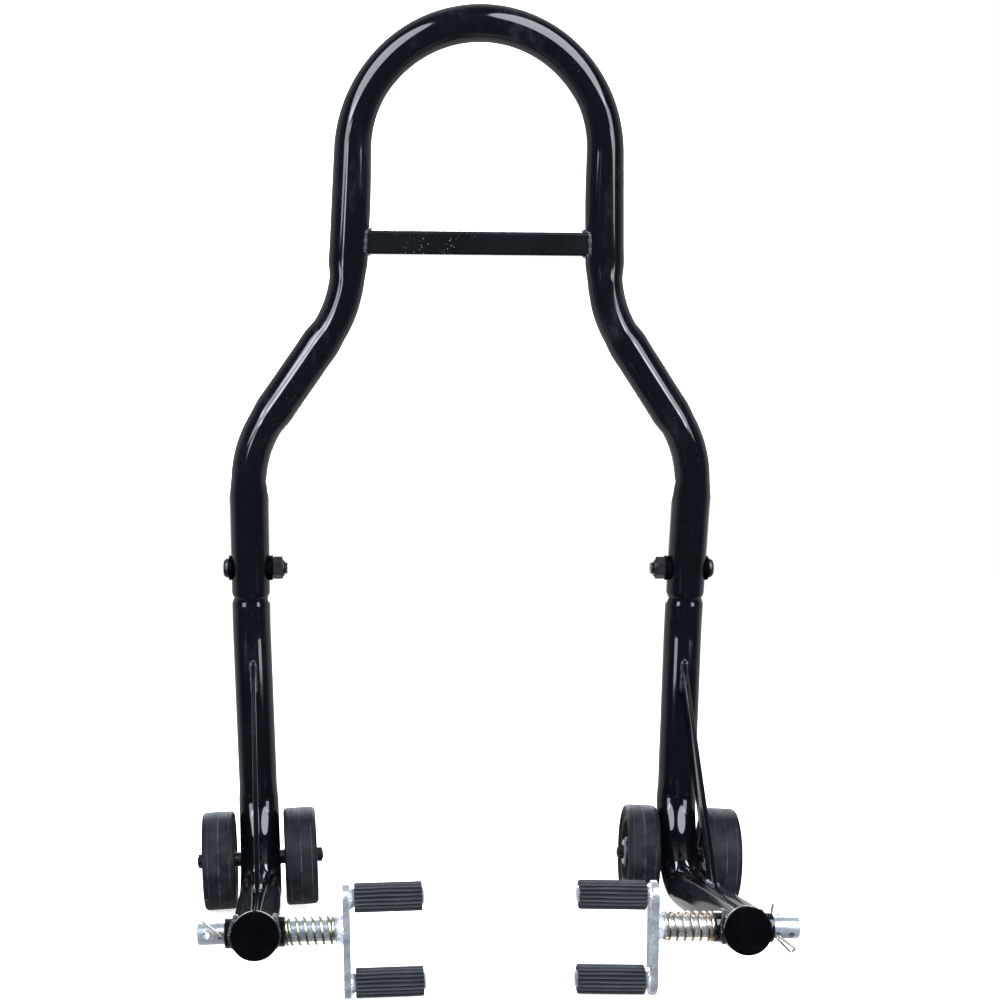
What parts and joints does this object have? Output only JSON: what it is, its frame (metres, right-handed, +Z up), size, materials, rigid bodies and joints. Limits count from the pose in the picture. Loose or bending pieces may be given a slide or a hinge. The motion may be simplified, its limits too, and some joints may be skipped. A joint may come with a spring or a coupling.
{
  "type": "motorcycle front paddock stand",
  "caption": "Front paddock stand: bent tube handle on two braced L-shaped legs, with wheels at the heels and sprung swivelling fork pins at the arm tips.",
  "frame": {"origin": "centre of the stand's footprint, on the floor", "axes": "+X across the stand, +Y from the fork pins back to the wheels and legs, +Z up"},
  "size_m": [0.4984, 0.3512, 0.7835],
  "materials": {
    "black_paint": "gloss black powder coat",
    "black_plastic": "smooth black polyethylene",
    "black_zinc": "black zinc plate",
    "bright_zinc": "bright bluish zinc plate",
    "yellow_zinc": "yellow zinc plate",
    "wheel_rubber": "hard moulded rubber, scuffed",
    "wheel_plastic": "moulded black nylon",
    "bush_plastic": "dark nylon bush",
    "pin_rubber": "ribbed matt rubber"
  },
  "bodies": {
    "frame": {"handle_tube": "black_paint", "cross_bar": "black_paint", "lower_leg_left": "black_paint", "brace_left": "black_paint", "shaft_sleeve_left": "black_paint", "arm_cap_left": "black_plastic", "frame_bolt_left": "black_zinc", "frame_washers_left": "black_zinc", "frame_nut_left": "black_zinc", "axle_left": "black_zinc", "axle_spacers_left": "black_zinc", "axle_washers_left": "bright_zinc", "axle_nuts_left": "black_zinc", "spring_left": "yellow_zinc", "lower_leg_right": "black_paint", "brace_right": "black_paint", "shaft_sleeve_right": "black_paint", "arm_cap_right": "black_plastic", "frame_bolt_right": "black_zinc", "frame_washers_right": "black_zinc", "frame_nut_right": "black_zinc", "axle_right": "black_zinc", "axle_spacers_right": "black_zinc", "axle_washers_right": "bright_zinc", "axle_nuts_right": "black_zinc", "spring_right": "yellow_zinc"},
    "wheel_left_outer": {"wheel_tyre_left_outer": "wheel_rubber", "wheel_core_left_outer": "wheel_plastic", "wheel_bush_left_outer": "bush_plastic"},
    "wheel_left_inner": {"wheel_tyre_left_inner": "wheel_rubber", "wheel_core_left_inner": "wheel_plastic", "wheel_bush_left_inner": "bush_plastic"},
    "spring_seat_left": {"spring_washer_left": "bright_zinc"},
    "fork_adapter_left": {"adapter_shaft_left": "bright_zinc", "adapter_plate_left": "bright_zinc", "adapter_pins_left": "bright_zinc", "pin_rubber_upper_left": "pin_rubber", "pin_rubber_lower_left": "pin_rubber", "split_pin_left": "yellow_zinc"},
    "wheel_right_outer": {"wheel_tyre_right_outer": "wheel_rubber", "wheel_core_right_outer": "wheel_plastic", "wheel_bush_right_outer": "bush_plastic"},
    "wheel_right_inner": {"wheel_tyre_right_inner": "wheel_rubber", "wheel_core_right_inner": "wheel_plastic", "wheel_bush_right_inner": "bush_plastic"},
    "spring_seat_right": {"spring_washer_right": "bright_zinc"},
    "fork_adapter_right": {"adapter_shaft_right": "bright_zinc", "adapter_plate_right": "bright_zinc", "adapter_pins_right": "bright_zinc", "pin_rubber_upper_right": "pin_rubber", "pin_rubber_lower_right": "pin_rubber", "split_pin_right": "yellow_zinc"}
  },
  "joints": [
    {"name": "wheel_left_outer_spin", "type": "hinge", "parent": "frame", "child": "wheel_left_outer", "pos_m": [-0.22855, 0.12763, 0.04392], "axis": [0.9976, 0.0544, 0.0433], "continuous": true},
    {"name": "wheel_left_inner_spin", "type": "hinge", "parent": "frame", "child": "wheel_left_inner", "pos_m": [-0.15573, 0.1316, 0.04708], "axis": [0.9976, 0.0544, 0.0433], "continuous": true},
    {"name": "adapter_slide_left", "type": "slide", "parent": "frame", "child": "spring_seat_left", "axis": [-0.9997, 0, -0.0227], "range_m": [0, 0.018], "stiffness_N_per_m": 2000, "springref_m": -0.0115, "deforming": ["spring_left"]},
    {"name": "adapter_swivel_left", "type": "hinge", "parent": "spring_seat_left", "child": "fork_adapter_left", "pos_m": [-0.1769, -0.1519, 0.04814], "axis": [0.9997, 0, 0.0227], "continuous": true},
    {"name": "wheel_right_outer_spin", "type": "hinge", "parent": "frame", "child": "wheel_right_outer", "pos_m": [0.22855, 0.12763, 0.04392], "axis": [0.9976, -0.0544, -0.0433], "continuous": true},
    {"name": "wheel_right_inner_spin", "type": "hinge", "parent": "frame", "child": "wheel_right_inner", "pos_m": [0.15573, 0.1316, 0.04708], "axis": [0.9976, -0.0544, -0.0433], "continuous": true},
    {"name": "adapter_slide_right", "type": "slide", "parent": "frame", "child": "spring_seat_right", "axis": [0.9997, 0, -0.0227], "range_m": [0, 0.018], "stiffness_N_per_m": 2000, "springref_m": -0.0115, "deforming": ["spring_right"]},
    {"name": "adapter_swivel_right", "type": "hinge", "parent": "spring_seat_right", "child": "fork_adapter_right", "pos_m": [0.1769, -0.1519, 0.04814], "axis": [0.9997, 0, -0.0227], "continuous": true}
  ]
}
